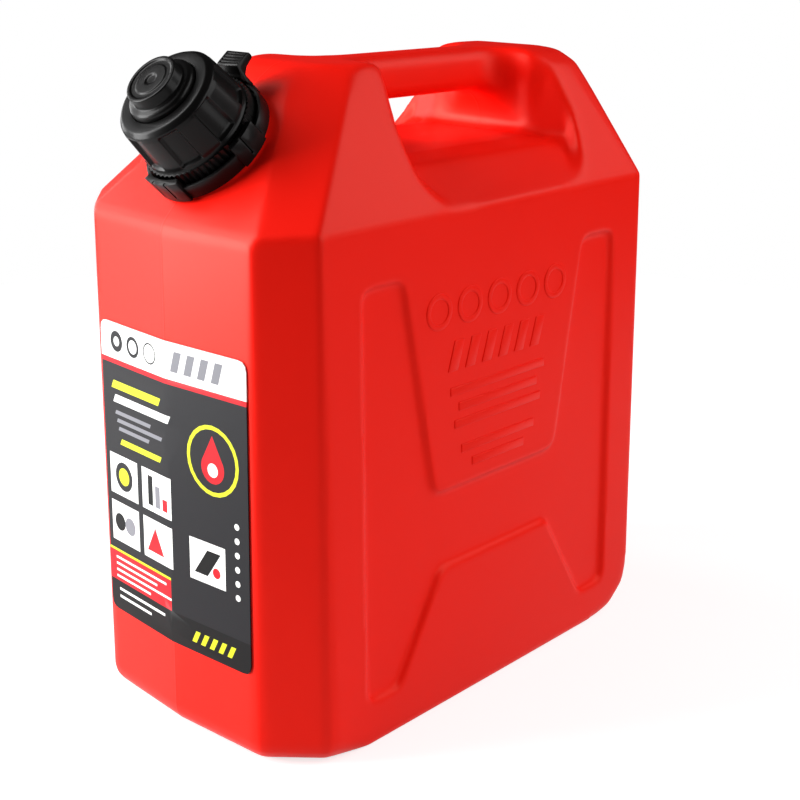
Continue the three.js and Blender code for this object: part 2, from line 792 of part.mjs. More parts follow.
// A round wire that follows a list of points
function wire(points, radius, sides = wireSides) {
  const positions = [];
  points.forEach((point, index) => {
    const ahead = points[Math.min(index + 1, points.length - 1)];
    const behind = points[Math.max(index - 1, 0)];
    const along = ahead.clone().sub(behind).normalize();
    const helper = wireHelper(along);
    const across = helper.clone().cross(along).normalize();
    const up = along.clone().cross(across);
    for (let step = 0; step < sides; step += 1) {
      const turn = (Math.PI * 2 * step) / sides;
      const spot = point.clone().addScaledVector(across, radius * Math.cos(turn));
      spot.addScaledVector(up, radius * Math.sin(turn));
      positions.push(spot.x, spot.y, spot.z);
    }
  });
  return solid(skin(positions, sides, points.length));
}

const wireHelper = (along) => (Math.abs(along.x) > Math.SQRT1_2 ? at(0, 0, 1) : at(1, 0, 0));

// A torsion coil round the pin, with one arm on the ring and one behind the lever
function latchSpring() {
  const points = [];
  const half = coilHalfRoom - coilWire - coilRoomGap;
  const count = coilTurns * wireSteps;
  points.push(at(-half, pivotRadius + coilRadius + coilArm, pivotHeight - coilRadius));
  for (let index = 0; index <= count; index += 1) {
    const turn = -Math.PI / 2 - (Math.PI * 2 * coilTurns * index) / count;
    const x = -half + (2 * half * index) / count;
    points.push(at(x, pivotRadius + coilRadius * Math.cos(turn), pivotHeight + coilRadius * Math.sin(turn)));
  }
  return wire(points, coilWire);
}

function screwCollar() {
  const taper = (gripTopRadius - gripFootRadius) / (gripTopHeight - gripFootHeight);
  const slopeAt = (height) => gripFootRadius + taper * (height - gripFootHeight);
  const lipFoot = collarTop - collarLip;
  const bandFoot = gripTopHeight + (collarTop - gripTopHeight) / 2;
  const body = turned([
    [collarBore, toothFoot],
    [toothTipRadius - toothDepth, toothFoot],
    [toothTipRadius - toothDepth, toothTop],
    [gripFootRadius, gripFootHeight],
    [gripTopRadius, gripTopHeight],
    [collarTopRadius + (collarTop - bandFoot), bandFoot],
    [collarTopRadius, collarTop],
    [collarHole, collarTop],
    [collarHole, lipFoot],
    [collarBore, lipFoot],
  ], wideSteps);
  const corners = [];
  const rootRadius = toothTipRadius - toothDepth;
  for (let tooth = 0; tooth < toothCount; tooth += 1) {
    const pitch = (Math.PI * 2) / toothCount;
    const root = tooth * pitch;
    const tip = root + pitch * toothLeanShare;
    corners.push([rootRadius * Math.sin(root), -rootRadius * Math.cos(root)]);
    corners.push([toothTipRadius * Math.sin(tip), -toothTipRadius * Math.cos(tip)]);
  }
  const teeth = solid(plate(corners, toothTop - toothFoot - toothDepth)).translate([0, 0, toothFoot]);
  const teethBore = ring(0, collarBore + toothDepth, toothFoot - overrun, toothTop + overrun);
  const pocketTop = gripTopHeight - pocketEdge;
  const pocketFoot = gripFootHeight + pocketEdge;
  const pocketRing = turned([
    [slopeAt(pocketFoot) - pocketDepth, pocketFoot],
    [toothTipRadius + overrun, pocketFoot],
    [toothTipRadius + overrun, pocketTop],
    [slopeAt(pocketTop) - pocketDepth, pocketTop],
  ], wideSteps);
  let pockets = null;
  for (let index = 0; index < pocketCount; index += 1) {
    const middle = pocketTurnDeg + (fullTurnDeg * (index + 1 / 2)) / pocketCount;
    const half = pocketWidthDeg / 2;
    const cut = wedge(middle - half, middle + half, toothTipRadius * 2, pocketFoot, pocketTop);
    pockets = pockets ? pockets.add(cut) : cut;
  }
  return body.add(teeth.subtract(teethBore)).subtract(pocketRing.intersect(pockets));
}

const rim = neckRim;
const spoutGasketFoot = rim + seatGap;
const flangeFoot = spoutGasketFoot + gasketThickness + seatGap;
const stopperGasketFoot = flangeFoot + spoutFlange + seatGap;
const stopperFoot = stopperGasketFoot + gasketThickness + seatGap;

function stopperPlug() {
  const inside = socketRadius - socketWall - insertGap;
  const flangeTop = stopperFoot + stopperFlange;
  return turned([
    [inside - stopperWall, stopperFoot - stopperSkirt],
    [inside, stopperFoot - stopperSkirt],
    [inside, stopperFoot],
    [flangeRadius, stopperFoot],
    [flangeRadius, flangeTop],
    [tierRadius, flangeTop],
    [tierRadius, tierTop - stopperWall],
    [tierRadius - stopperWall / 3, tierTop - stopperWall / 3],
    [tierRadius - stopperWall, tierTop],
    [discRadius, tierTop],
    [discRadius, stopperTop - recessDepth],
    [discRadius - recessDepth, stopperTop],
    [recessRadius + recessDepth, stopperTop],
    [recessRadius, stopperTop - recessDepth],
    [0, stopperTop - recessDepth],
    [0, stopperTop - recessDepth - stopperWall],
    [discRadius - stopperWall, stopperTop - recessDepth - stopperWall],
    [discRadius - stopperWall, tierTop - stopperWall],
    [inside - stopperWall, tierTop - stopperWall],
  ], roundSteps);
}

function spoutBase() {
  const inside = socketRadius - socketWall;
  const neckDown = socketFoot - (socketRadius - socketMouthRadius);
  const mouthBore = tubeRadius + seatGap;
  const shoulderIn = neckDown + socketWall;
  return turned([
    [flangeRadius, flangeFoot],
    [flangeRadius, flangeFoot + spoutFlange],
    [inside, flangeFoot + spoutFlange],
    [inside, socketFoot + socketWall],
    [mouthBore, shoulderIn],
    [mouthBore, sealHeight + sealGroove / 2],
    [mouthBore + sealWire * 2, sealHeight + sealGroove / 2],
    [mouthBore + sealWire * 2, sealHeight - sealGroove / 2],
    [mouthBore, sealHeight - sealGroove / 2],
    [mouthBore, socketMouthFoot],
    [socketMouthRadius, socketMouthFoot],
    [socketMouthRadius, neckDown],
    [socketRadius, socketFoot],
    [socketRadius, flangeFoot],
  ]);
}

function torus(major, minor) {
  return solid(new THREE.TorusGeometry(major, minor, arcSteps, roundSteps));
}

// The middle line of the spout in the body's frame: along the neck, then bent to straight down
function spoutLine(offset, fromStart, beyondTip) {
  const tilt = rad(neckTiltDeg);
  const inward = at(0, Math.sin(tilt), -Math.cos(tilt));
  const mouth = at(offset, neckY, neckHeight);
  const points = [mouth.clone().addScaledVector(inward, -fromStart)];
  const bendStart = mouth.clone().addScaledVector(inward, tubeStraight);
  const side = at(0, -Math.cos(tilt), -Math.sin(tilt));
  const centre = bendStart.clone().addScaledVector(side, tubeBendRadius);
  const steps = arcSteps;
  for (let step = 0; step <= steps; step += 1) {
    const turn = tilt * (1 - step / steps);
    const y = centre.y + tubeBendRadius * Math.cos(turn);
    points.push(at(offset, y, centre.z + tubeBendRadius * Math.sin(turn)));
  }
  const last = points[points.length - 1];
  points.push(at(offset, last.y, last.z - tubeTip - beyondTip));
  return points;
}

const tip = spoutLine(0, 0, 0).pop();
const atTip = (manifold) => manifold.translate([tip.x, tip.y, tip.z]);
const springTop = sleeveBack + springLength;

// The tube is swept along its line, with the shoulder that stops the spring
function spoutTube() {
  const outer = wire(spoutLine(0, tubeStart, 0), tubeRadius, smallSteps);
  const inner = wire(spoutLine(0, tubeStart + overrun, overrun), tubeRadius - tubeWall, smallSteps);
  const shoulder = ring(tubeRadius - tubeWall / 2, sleeveRadius, springTop, springTop + shoulderThickness);
  return outer.add(atTip(shoulder)).subtract(inner);
}

function ventTube() {
  const outer = wire(spoutLine(ventOffset, tubeStart - ventSetBack, -insertCollar), ventRadius, arcSteps);
  const bore = spoutLine(ventOffset, tubeStart + overrun, overrun);
  const inner = wire(bore, ventRadius * ventBoreShare, arcSteps);
  return outer.subtract(inner);
}

function nozzleBody() {
  const plugRadius = tubeRadius - tubeWall - insertGap;
  const body = turned([
    [insertBore, -insertCollar],
    [tubeRadius, -insertCollar],
    [tubeRadius, -insertGap],
    [plugRadius, -insertGap],
    [plugRadius, insertDepth],
    [insertBore, insertDepth],
  ]);
  const hub = ring(0, hubRadius, -insertCollar, insertDepth / 2);
  const spoke = box(0, -spokeHalf, -insertCollar, insertBore + insertGap, spokeHalf, insertDepth / 2);
  const clip = ring(0, ventRadius + ventClip, -insertCollar, insertDepth / 2, smallSteps)
    .translate([ventOffset, 0, 0]);
  const ventHole = ring(0, ventRadius + insertGap, -overrun, overrun, smallSteps)
    .translate([ventOffset, 0, 0]);
  const stemHole = ring(0, stemRadius + stemGap, -overrun, overrun, smallSteps);
  let made = body.add(hub).add(clip);
  for (let index = 1; index < spokeCount; index += 1) {
    made = made.add(spoke.rotate([0, 0, (fullTurnDeg * index) / spokeCount]));
  }
  return atTip(made.subtract(ventHole).subtract(stemHole));
}

function valveStem() {
  const low = -stemLength;
  return atTip(turned([
    [0, low],
    [stemRadius, low],
    [stemRadius, insertDepth / 2 + stemGap],
    [stemHead, insertDepth / 2 + stemGap],
    [stemHead, insertDepth / 2 + stemGap + stemHeadHeight],
    [0, insertDepth / 2 + stemGap + stemHeadHeight],
  ], smallSteps));
}

function valveDisc() {
  const back = -stemLength + discThickness / 2;
  return atTip(turned([
    [stemRadius + stemGap, back],
    [valveRadius, back],
    [valveRadius, back - discThickness + stemGap],
    [valveRadius - discThickness / 2, back - discThickness],
    [stemRadius + stemGap, back - discThickness],
  ]));
}

const sealZ = -stemLength + discThickness / 2 + valveSealWire + insertGap / 2;
const seatFront = sealZ + valveSealWire + insertGap / 2;

function valveSeal() {
  return atTip(torus(valveRadius - valveSealWire - stemGap, valveSealWire).translate([0, 0, sealZ]));
}

// The sleeve that slides back over the tube, with its seat at the front and a small hook
function nozzleSleeve() {
  const bore = tubeRadius + insertGap;
  const body = turned([
    [bore, sleeveBack],
    [bore, seatFront + sleeveSeat],
    [sleeveSeatBore, seatFront + sleeveSeat],
    [sleeveSeatBore, seatFront],
    [sleeveRadius - sleeveSeat / 2, seatFront],
    [sleeveRadius, seatFront + sleeveSeat / 2],
    [sleeveRadius, sleeveBack],
  ]);
  const reach = sleeveRadius + hookReach;
  const arm = box(-hookHalfWidth, -reach, 0, hookHalfWidth, -bore - sleeveSeat / 2, sleeveSeat);
  const lip = box(-hookHalfWidth, -reach, 0, hookHalfWidth, -reach + sleeveSeat, hookHeight);
  return atTip(body.add(arm).add(lip));
}

function nozzleSpring() {
  const radius = (tubeRadius + sleeveRadius) / 2;
  const count = springTurns * wireSteps;
  const points = [];
  const low = sleeveBack + springWire + insertGap / 2;
  const high = springTop - springWire - insertGap / 2;
  for (let index = 0; index <= count; index += 1) {
    const turn = (Math.PI * 2 * springTurns * index) / count;
    points.push(at(radius * Math.cos(turn), radius * Math.sin(turn), low + ((high - low) * index) / count));
  }
  return atTip(wire(points, springWire));
}

const inNeck = (height) => (manifold) => inBody(manifold.translate([0, 0, height]));

const moulded = { red: '#d42f18', black: '#1b1b1d', ink: '#2a2a2d' };
function material(colour, roughness, metalness) {
  return new THREE.MeshStandardMaterial({ color: colour, roughness, metalness });
}
const redPlastic = material(moulded.red, 0.4, 0);
const blackPlastic = material(moulded.black, 0.45, 0);
const film = material(moulded.ink, 0.35, 0);
const rubber = material('#151515', 0.8, 0);
const steel = material('#b9bcc0', 0.3, 1);
const yellowPlastic = material('#e0b21c', 0.45, 0);

const gasket = (inner) => ring(inner, flangeRadius, 0, gasketThickness);

const pieces = [
  ['tank_body', tankBody(), redPlastic],
  ['front_label', frontLabel(), film],
  ['lock_ring', inBody(lockRing()), blackPlastic],
  ['latch_lever', inBody(latchLever()), blackPlastic],
  ['latch_pin', inBody(latchPin()), steel],
  ['latch_spring', inBody(latchSpring()), steel],
  ['screw_collar', inBody(screwCollar()), blackPlastic],
  ['stopper_plug', inBody(stopperPlug()), blackPlastic],
  ['stopper_gasket', inNeck(stopperGasketFoot)(gasket(socketRadius - socketWall)), rubber],
  ['spout_gasket', inNeck(spoutGasketFoot)(gasket(neckBore)), rubber],
  ['spout_base', inBody(spoutBase()), yellowPlastic],
  ['spout_seal', inNeck(sealHeight)(torus(tubeRadius + seatGap / 2 + sealWire, sealWire)), rubber],
  ['spout_tube', spoutTube(), yellowPlastic],
  ['vent_tube', ventTube(), blackPlastic],
  ['nozzle_body', nozzleBody(), yellowPlastic],
  ['valve_stem', valveStem(), steel],
  ['valve_disc', valveDisc(), yellowPlastic],
  ['valve_seal', valveSeal(), rubber],
  ['nozzle_sleeve', nozzleSleeve(), redPlastic],
  ['nozzle_spring', nozzleSpring(), steel],
];

const group = new THREE.Group();
for (const [name, shape, look] of pieces) {
  const mesh = new THREE.Mesh(toGeometry(shape), look);
  mesh.name = name;
  group.add(mesh);
}

export default group;
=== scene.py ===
# %% [markdown]
# # A blow-moulded fuel tank
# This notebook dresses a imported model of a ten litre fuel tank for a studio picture. The
# solids already have their real sizes and places. What is added here is what the eye
# looks for: the soft edges of blow-moulded polyethylene, the crisp ribs and teeth of the
# black closure, the printed film on the front, and light that shows all three.
#
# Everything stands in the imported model's own frame: +Z is up, the label faces -Y, and +X
# is the long side that the camera sees. Blender counts in metres. Sizes are written in
# millimetres and multiplied by MM where they reach Blender.

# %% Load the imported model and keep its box
import json
import math

import bmesh
import bpy
from mathutils import Matrix, Vector
from mathutils.kdtree import KDTree


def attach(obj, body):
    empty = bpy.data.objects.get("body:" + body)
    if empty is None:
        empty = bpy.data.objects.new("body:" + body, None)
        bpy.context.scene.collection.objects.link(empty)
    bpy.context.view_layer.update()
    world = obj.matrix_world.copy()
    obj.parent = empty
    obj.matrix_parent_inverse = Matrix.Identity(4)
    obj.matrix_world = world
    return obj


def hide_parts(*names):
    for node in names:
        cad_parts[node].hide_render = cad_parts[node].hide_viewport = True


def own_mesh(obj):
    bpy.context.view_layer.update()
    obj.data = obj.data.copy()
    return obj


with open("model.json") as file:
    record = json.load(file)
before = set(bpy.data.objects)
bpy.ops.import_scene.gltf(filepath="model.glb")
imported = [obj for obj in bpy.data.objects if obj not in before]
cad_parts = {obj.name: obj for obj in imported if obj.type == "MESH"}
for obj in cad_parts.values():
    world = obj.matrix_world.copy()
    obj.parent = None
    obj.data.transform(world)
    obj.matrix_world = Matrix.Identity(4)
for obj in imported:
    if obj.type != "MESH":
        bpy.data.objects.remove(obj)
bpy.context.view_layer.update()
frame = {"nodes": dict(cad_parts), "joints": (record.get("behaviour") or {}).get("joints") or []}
MM = 0.001

# %% [markdown]
# ## The camera
# A picture like this is taken with a short telephoto lens, from a little above and to the
# right of the front, so that three faces show and upright edges stay almost parallel. The
# camera could be aimed by a constraint, but a matrix made of two angles and a small roll
# says in plain numbers where it looks. The angles, the place and the lens were found from
# the tank's straight edges. The small shift stands for the way the picture was cropped.

# %% Place the camera
def direction(azimuth, elevation):
    """A unit vector towards a place round the tank: azimuth 0 is in front, 90 at +X."""
    a, e = math.radians(azimuth), math.radians(elevation)
    return Vector((math.sin(a) * math.cos(e), -math.cos(a) * math.cos(e), math.sin(e)))


camera_place = Vector((513.76, -524.79, 379.16)) * MM
camera_azimuth = 42.361
camera_elevation = 15.649
camera_roll = 0.474
sensor_width = 36
focal_length = 64.605
crop_shift = (-0.0375, -0.0875)

lens = bpy.data.cameras.new("studio_camera")
lens.sensor_width = sensor_width
lens.lens = focal_length
lens.shift_x, lens.shift_y = crop_shift
camera = bpy.data.objects.new("studio_camera", lens)
back = direction(camera_azimuth, camera_elevation)
level = Vector((-back.y, back.x, 0)).normalized()
right = Matrix.Rotation(math.radians(camera_roll), 3, back) @ level
up = back.cross(right)
aim = Matrix((right, up, back)).transposed().to_4x4()
camera.matrix_world = Matrix.Translation(camera_place) @ aim
bpy.context.scene.collection.objects.link(camera)
bpy.context.scene.camera = camera
print("camera at", [round(v, 3) for v in camera_place], "with a lens of", focal_length, "mm")

# %% [markdown]
# ## Colours and nodes
# Colours are written as the sRGB hex values that a paint program shows. Blender mixes
# light in linear values, so one function turns the one into the other. A second function
# adds a shader node, sets it and links it, which keeps each material short enough to
# read as a recipe.

# %% Helpers for colours and shader nodes
def srgb(code):
    """The linear values of a colour that is written as a hex code."""
    channels = [int(code[i:i + 2], 16) / 255 for i in (1, 3, 5)]
    return tuple(c / 12.92 if c <= 0.04045 else ((c + 0.055) / 1.055) ** 2.4 for c in channels) + (1,)


def add_node(tree, kind, inputs=None, **settings):
    """A shader node with its settings, each input either linked to a socket or set to a value."""
    made = tree.nodes.new(kind)
    for key, value in settings.items():
        setattr(made, key, value)
    for key, value in (inputs or {}).items():
        if isinstance(value, bpy.types.NodeSocket):
            tree.links.new(value, made.inputs[key])
        else:
            made.inputs[key].default_value = value
    return made


def new_material(name):
    material = bpy.data.materials.new(name)
    material.use_nodes = True
    material.node_tree.nodes.clear()
    return material, material.node_tree


print("a middle grey in linear values:", [round(v, 3) for v in srgb("#808080")])

# %% [markdown]
# ## Red polyethylene
# Blow-moulded high density polyethylene has a waxy, satin skin. It is cooled against a
# sandblasted mould, so it carries a very fine grain, and it shrinks a little unevenly,
# so wide faces wave softly over a few centimetres. A thin line shows where the halves of
# the mould met. All three could be modelled, but they are so shallow that a bump in the
# material shows them just as well. The colour is a strong, slightly orange red that
# varies a little with the thickness of the wall.

# %% Red polyethylene
def polyethylene(name, code, deeper, roughness):
    """Satin: broad soft highlights, tinted warm because light enters the skin a little way."""
    material, tree = new_material(name)
    place = add_node(tree, "ShaderNodeTexCoord").outputs["Object"]

    # The colour drifts towards a deeper one over the width of a hand.
    cloud_size = 60
    cloud = add_node(tree, "ShaderNodeTexNoise", {
        "Vector": place, "Scale": 1 / (cloud_size * MM), "Detail": 2.0})
    tone = add_node(tree, "ShaderNodeMixRGB", {
        "Fac": cloud.outputs["Fac"], "Color1": srgb(code), "Color2": srgb(deeper)})

    # Uneven shrinking leaves slow waves.
    wave_size, wave_depth = 26, 0.6
    wave = add_node(tree, "ShaderNodeTexNoise", {
        "Vector": place, "Scale": 1 / (wave_size * MM), "Detail": 1.0})
    waved = add_node(tree, "ShaderNodeBump", {
        "Height": wave.outputs["Fac"], "Strength": 0.1, "Distance": wave_depth * MM})

    # The grain of a blasted mould is too fine to show, so it is drawn coarser than it is.
    grain_size, grain_depth = 0.9, 0.05
    grain = add_node(tree, "ShaderNodeTexNoise", {
        "Vector": place, "Scale": 1 / (grain_size * MM), "Detail": 2.0})
    grained = add_node(tree, "ShaderNodeBump", {
        "Height": grain.outputs["Fac"], "Normal": waved.outputs["Normal"],
        "Strength": 0.1, "Distance": grain_depth * MM})

    # The halves of the mould met in the middle of the tank's width, where X is 0.
    line_half_width, line_end, line_height = 0.2, 0.8, 0.12
    across = add_node(tree, "ShaderNodeSeparateXYZ", {"Vector": place})
    aside = add_node(tree, "ShaderNodeMath", {0: across.outputs["X"]}, operation="ABSOLUTE")
    line = add_node(tree, "ShaderNodeMapRange", {
        "Value": aside.outputs[0], "From Min": line_half_width * MM, "From Max": line_end * MM,
        "To Min": 1.0, "To Max": 0.0})
    lined = add_node(tree, "ShaderNodeBump", {
        "Height": line.outputs["Result"], "Normal": grained.outputs["Normal"],
        "Strength": 0.6, "Distance": line_height * MM})

    shader = add_node(tree, "ShaderNodeBsdfPrincipled", {
        "Base Color": tone.outputs["Color"], "Roughness": roughness, "IOR": 1.52,
        "Specular IOR Level": 0.24, "Specular Tint": srgb("#ffbca4"), "Normal": lined.outputs["Normal"]})
    add_node(tree, "ShaderNodeOutputMaterial", {"Surface": shader.outputs["BSDF"]})
    return material


red_polyethylene = polyethylene("red_polyethylene", "#fa180b", "#f51509", 0.42)
print("the tank's finish:", red_polyethylene.name)

# %% [markdown]
# ## The other finishes
# The closure is injection moulded in black polypropylene. Its mould is smoother than the
# tank's, so its faces are a soft grey-black and its edges catch thin bright lines. The
# spout is the same plastic in yellow and red. Seals are nitrile rubber with a dull skin,
# and pin, coil, stem and spring are drawn steel wire. Each could have a recipe of its
# own, but they differ only in colour, gloss and grain, so one recipe makes them all.

# %% Injection moulded plastics, rubber and wire
def moulded(name, code, roughness, grain_size, grain_depth, metallic=0.0, specular=0.5, polish=0.0):
    """A plain skin whose grain, in mm, moves the light a little and the gloss a little."""
    roughness_spread = 0.05
    material, tree = new_material(name)
    place = add_node(tree, "ShaderNodeTexCoord").outputs["Object"]
    grain = add_node(tree, "ShaderNodeTexNoise", {
        "Vector": place, "Scale": 1 / (grain_size * MM), "Detail": 3.0})
    rough = add_node(tree, "ShaderNodeMapRange", {
        "Value": grain.outputs["Fac"],
        "To Min": roughness - roughness_spread, "To Max": roughness + roughness_spread})
    bump = add_node(tree, "ShaderNodeBump", {
        "Height": grain.outputs["Fac"], "Strength": 0.2, "Distance": grain_depth * MM})
    shader = add_node(tree, "ShaderNodeBsdfPrincipled", {
        "Base Color": srgb(code), "Roughness": rough.outputs["Result"], "Metallic": metallic,
        "Specular IOR Level": specular, "Coat Weight": polish, "Coat Roughness": 0.14,
        "Normal": bump.outputs["Normal"]})
    add_node(tree, "ShaderNodeOutputMaterial", {"Surface": shader.outputs["BSDF"]})
    return material


# A smooth mould leaves no grain, only slow changes of gloss. The thin polish draws bright edges.
black_polypropylene = moulded("black_polypropylene", "#0a0909", 0.37, 3.0, 0.004, specular=0.1, polish=0.09)

# A lightly blasted mould gives an even sheen. Its grain is drawn coarser than it is.
yellow_polypropylene = moulded("yellow_polypropylene", "#e3b01f", 0.4, 0.8, 0.03)
red_polypropylene = moulded("red_polypropylene", "#cf2a1b", 0.4, 0.8, 0.03)

# Rubber is pressed in a coarse mould and stays dull. Wire is drawn, so it is bright and smooth.
nitrile_rubber = moulded("nitrile_rubber", "#1b1b1c", 0.75, 0.4, 0.04)
drawn_steel = moulded("drawn_steel", "#c3c5c8", 0.28, 0.5, 0.01, metallic=1.0)
print("materials so far:", len(bpy.data.materials))

# %% Finish the small solids that need no new shape
solids_by_finish = [
    (nitrile_rubber, ("stopper_gasket", "spout_gasket", "spout_seal", "valve_seal")),
    (drawn_steel, ("latch_pin", "latch_spring", "valve_stem")),
    (yellow_polypropylene, ("spout_base", "spout_tube", "nozzle_body", "valve_disc")),
    (black_polypropylene, ("vent_tube",)),
    (red_polypropylene, ("nozzle_sleeve",))]
for material, names in solids_by_finish:
    for name in names:
        frame["nodes"][name].data.materials.clear()
        frame["nodes"][name].data.materials.append(material)
    print(material.name, "on", ", ".join(names))

# %% [markdown]
# ## The neck's own frame
# The neck leans forward, and the whole closure is turned round its axis. Such pieces
# could be made where they stand, but they are easier to make upright, with heights that
# count from the foot of the neck, and to lay into place by one matrix at the end. The
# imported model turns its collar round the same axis, so its joint shows whether new and
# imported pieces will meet.

# %% The neck's place and tilt
neck_foot = Vector((0, -109.8, 283.8)) * MM
neck_tilt = math.radians(46.3)
neck = Matrix.Translation(neck_foot) @ Matrix.Rotation(neck_tilt, 4, "X")
to_neck = neck.inverted()

joints = {joint["name"]: joint for joint in frame["joints"]}
collar_joint = to_neck @ Vector(joints["collar_turn"]["pos_m"]) / MM
print("the collar's joint is", round(math.hypot(collar_joint.x, collar_joint.y), 3), "mm off the axis")

# %% [markdown]
# ## Making pieces
# Every new piece is a bmesh that becomes an object at the origin, with its place in its
# mesh, and that rides on the body it belongs to. A piece that stands for a solid hides
# it. These few steps are the same for all pieces, so they are functions.

# %% Helpers that make pieces
def merged_copy(name):
    """A copy of a solid's mesh, whose loose triangles are joined at their corners."""
    shape = bmesh.new()
    shape.from_mesh(frame["nodes"][name].data)
    bmesh.ops.remove_doubles(shape, verts=shape.verts, dist=0.002 * MM)
    return shape


def make_object(shape, name):
    mesh = bpy.data.meshes.new(name)
    shape.to_mesh(mesh)
    shape.free()
    made = bpy.data.objects.new(name, mesh)
    bpy.context.scene.collection.objects.link(made)
    return made


def apply_modifiers(piece):
    graph = bpy.context.evaluated_depsgraph_get()
    mesh = bpy.data.meshes.new_from_object(piece.evaluated_get(graph))
    piece.modifiers.clear()
    piece.data = mesh


def finish_piece(piece, material, body, stands_for, angle):
    """Gives a piece its finish, smooth shading up to an angle, its body and the solids it stands for."""
    if material:
        piece.data.materials.clear()
        piece.data.materials.append(material)
    piece.data.shade_smooth()
    piece.data.set_sharp_from_angle(angle=math.radians(angle))
    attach(piece, body)
    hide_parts(*stands_for)
    print(piece.name, len(piece.data.polygons), "faces")


# %% [markdown]
# ## The tank's shell
# Plastic blown into a mould never has a sharp edge: every corner is drawn thin and round,
# and the rounds flow into each other. The solid has the right radii but in facets. Bevels
# could round it further, but they need cleaner edges than a shape cut by booleans has. So
# its outer skin is copied, rebuilt as an even skin of small squares and relaxed, which
# turns the facets into one flowing surface, just as hot plastic would flow.
#
# The solid is one closed skin that runs in through the bore and round the hollow. With
# the faces of the bore taken out and the two round holes filled, it falls into two.

# %% Split the solid into its outer skin and its hollow
neck_bore = 17.5
neck_rim = 22.2
bore_foot = -9
whole = merged_copy("tank_body")


def in_bore(face):
    """Whether a face is a part of the bore's wall, and neither of the rim nor of the hollow."""
    spot = to_neck @ face.calc_center_median() / MM
    return math.hypot(spot.x, spot.y) < neck_bore + 0.2 and bore_foot < spot.z < neck_rim - 0.05


bmesh.ops.delete(whole, geom=[face for face in whole.faces if in_bore(face)], context="FACES")
bmesh.ops.holes_fill(whole, edges=[edge for edge in whole.edges if edge.is_boundary], sides=0)

# The lowest corner is on the outer skin, and so is all that its edges lead to.
lowest = min(whole.verts, key=lambda vert: vert.co.z)
reached = {lowest}
waiting = [lowest]
while waiting:
    here = waiting.pop()
    beside = [edge.other_vert(here) for edge in here.link_edges]
    new = [vert for vert in beside if vert not in reached]
    reached.update(new)
    waiting += new

hollow = whole.copy()
hollow.verts.ensure_lookup_table()
whole.verts.index_update()
outside = {vert.index for vert in reached}
bmesh.ops.delete(whole, geom=[v for v in whole.verts if v.index not in outside], context="VERTS")
bmesh.ops.delete(hollow, geom=[v for i, v in enumerate(hollow.verts) if i in outside], context="VERTS")
bmesh.ops.triangulate(whole, faces=whole.faces)
bmesh.ops.triangulate(hollow, faces=hollow.faces)
print("outer faces", len(whole.faces), "hollow faces", len(hollow.faces))

# %% [markdown]
# The plastic is stretched furthest over the rims of the hand grip, and over the wide
# rounds of the crown and of the rear foot. These have to be relaxed more than the rest.
# They could be painted by hand, but they are also plain to tell by how far an edge of the
# solid is bent and by where it lies, and that still works when the solid changes.

# %% Find the rims of the grip and the wide rounds
rim_bend = 28
rim_foot, rim_front, rim_rear = 250, -62, 112
round_bend = 6
crown_foot = 290
rear_foot_top, rear_foot_front = 32, 90
point_spacing = 2


def bend_of(edge):
    """How far an edge is bent, in degrees, above 0 where it stands out."""
    return math.degrees(edge.calc_face_angle_signed(0)) if len(edge.link_faces) == 2 else 0


def middle_of(edge):
    return (edge.verts[0].co + edge.verts[1].co) / 2 / MM


def on_rim(edge):
    spot = middle_of(edge)
    return bend_of(edge) > rim_bend and spot.z > rim_foot and rim_front < spot.y < rim_rear


def on_wide_round(edge):
    spot = middle_of(edge)
    at_rear_foot = spot.z < rear_foot_top and spot.y > rear_foot_front
    return round_bend < bend_of(edge) < rim_bend and (spot.z > crown_foot or at_rear_foot)


def points_along(edges, spacing):
    """Points along edges, no further apart than a spacing in mm."""
    points = []
    for edge in edges:
        start, end = (vert.co.copy() for vert in edge.verts)
        count = max(1, math.ceil((end - start).length / (spacing * MM)))
        points += [start.lerp(end, step / count) for step in range(count + 1)]
    return points


rim_points = points_along([edge for edge in whole.edges if on_rim(edge)], point_spacing)
round_points = points_along([edge for edge in whole.edges if on_wide_round(edge)], point_spacing)
print("points on rims", len(rim_points), "on wide rounds", len(round_points))

# %% Rebuild and relax the outer skin
skin_cell = 1.2
share_of_faces_kept = 0.3

shell = make_object(whole, "tank_shell")
remesh = shell.modifiers.new("even_skin", "REMESH")
remesh.mode = "VOXEL"
remesh.voxel_size = skin_cell * MM
apply_modifiers(shell)


def ease(value, low, high):
    """0 below low, 1 above high, and a smooth way between."""
    share = min(1, max(0, (value - low) / (high - low)))
    return share * share * (3 - 2 * share)


def relax(name, rounds, points=None, near=0, far=0):
    """Relaxes the skin, all of it or only near points, fading out between two distances in mm."""
    smooth = shell.modifiers.new(name, "SMOOTH")
    smooth.factor = 0.5
    smooth.iterations = rounds
    if points:
        tree = KDTree(len(points))
        for index, point in enumerate(points):
            tree.insert(point, index)
        tree.balance()
        group = shell.vertex_groups.new(name=name)
        for vert in shell.data.vertices:
            weight = 1 - ease(tree.find(vert.co)[2] / MM, near, far)
            if weight > 0:
                group.add([vert.index], weight, "REPLACE")
        smooth.vertex_group = name


relax("all_edges", 4)
relax("wide_rounds", 34, round_points, near=3, far=8)
relax("grip_rims", 50, rim_points, near=4, far=9)
thin = shell.modifiers.new("fewer_faces", "DECIMATE")
thin.ratio = share_of_faces_kept
apply_modifiers(shell)
print("skin faces", len(shell.data.polygons))

# %% [markdown]
# ## The neck and its thread
# The neck could be left as the relaxed skin shows it, but it must be truly round, because
# the closure turns on it. So it is spun from an outline and joined to the skin. Its
# thread is a small outline too, which climbs as it is spun. Then the bore and the hollow
# are cut out of both.
#
# The hollow is a copy of the solid's inner wall, so its faces look into it. A cutter's
# faces should look out of it, and these aren't turned round. For that reason the inner
# wall comes out facing the wrong way, and a disc without thickness stays across the foot
# of the bore. Neither is seen, because the closure and the spout fill the neck.

